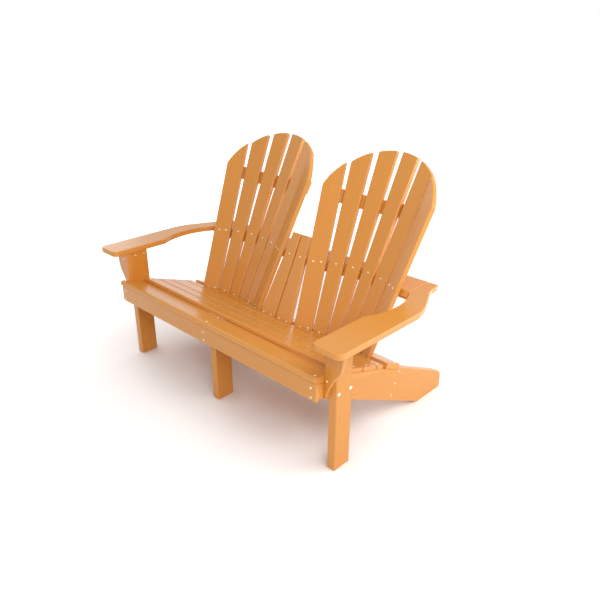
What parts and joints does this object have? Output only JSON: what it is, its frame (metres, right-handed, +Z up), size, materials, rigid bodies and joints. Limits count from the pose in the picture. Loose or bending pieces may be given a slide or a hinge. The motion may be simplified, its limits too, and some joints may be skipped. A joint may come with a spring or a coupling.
{
  "type": "adirondack loveseat",
  "caption": "Garden loveseat of poly lumber boards: fan-shaped slatted backs side by side, a sloping slatted seat and broad curved arms.",
  "frame": {"origin": "on the floor under the middle of the bench's outline", "axes": "+Z up, +X to the right as seen from the front, the sitters face -Y"},
  "size_m": [1.547, 0.9081, 1.0724],
  "materials": {
    "lumber": "satin",
    "steel": "satin"
  },
  "bodies": {
    "root": {"arm_bracket_left": "lumber", "arm_bracket_right": "lumber", "arm_cleat_left": "lumber", "arm_cleat_right": "lumber", "arm_left": "lumber", "arm_level_rail": "lumber", "arm_level_under_rail": "lumber", "arm_right": "lumber", "brace_screw_left_1": "steel", "brace_screw_left_2": "steel", "brace_screw_left_3": "steel", "brace_screw_right_1": "steel", "brace_screw_right_2": "steel", "brace_screw_right_3": "steel", "centre_slat_left": "lumber", "centre_slat_right": "lumber", "front_apron": "lumber", "front_leg_centre": "lumber", "front_leg_left": "lumber", "front_leg_right": "lumber", "front_seat_board": "lumber", "left_back_slat_1": "lumber", "left_back_slat_2": "lumber", "left_back_slat_3": "lumber", "left_back_slat_4": "lumber", "left_back_slat_5": "lumber", "left_back_slat_6": "lumber", "left_upper_back_rail": "lumber", "leg_bolt_centre_1": "steel", "leg_bolt_centre_2": "steel", "leg_bolt_left_1": "steel", "leg_bolt_left_2": "steel", "leg_bolt_right_1": "steel", "leg_bolt_right_2": "steel", "leg_nut_centre_1": "steel", "leg_nut_centre_2": "steel", "leg_nut_left_1": "steel", "leg_nut_left_2": "steel", "leg_nut_right_1": "steel", "leg_nut_right_2": "steel", "lower_back_rail": "lumber", "rear_brace_left": "lumber", "rear_brace_right": "lumber", "right_back_slat_1": "lumber", "right_back_slat_2": "lumber", "right_back_slat_3": "lumber", "right_back_slat_4": "lumber", "right_back_slat_5": "lumber", "right_back_slat_6": "lumber", "right_upper_back_rail": "lumber", "seat_slat_1": "lumber", "seat_slat_2": "lumber", "seat_slat_3": "lumber", "seat_slat_4": "lumber", "stringer_centre": "lumber", "stringer_left": "lumber", "stringer_right": "lumber"}
  },
  "joints": []
}
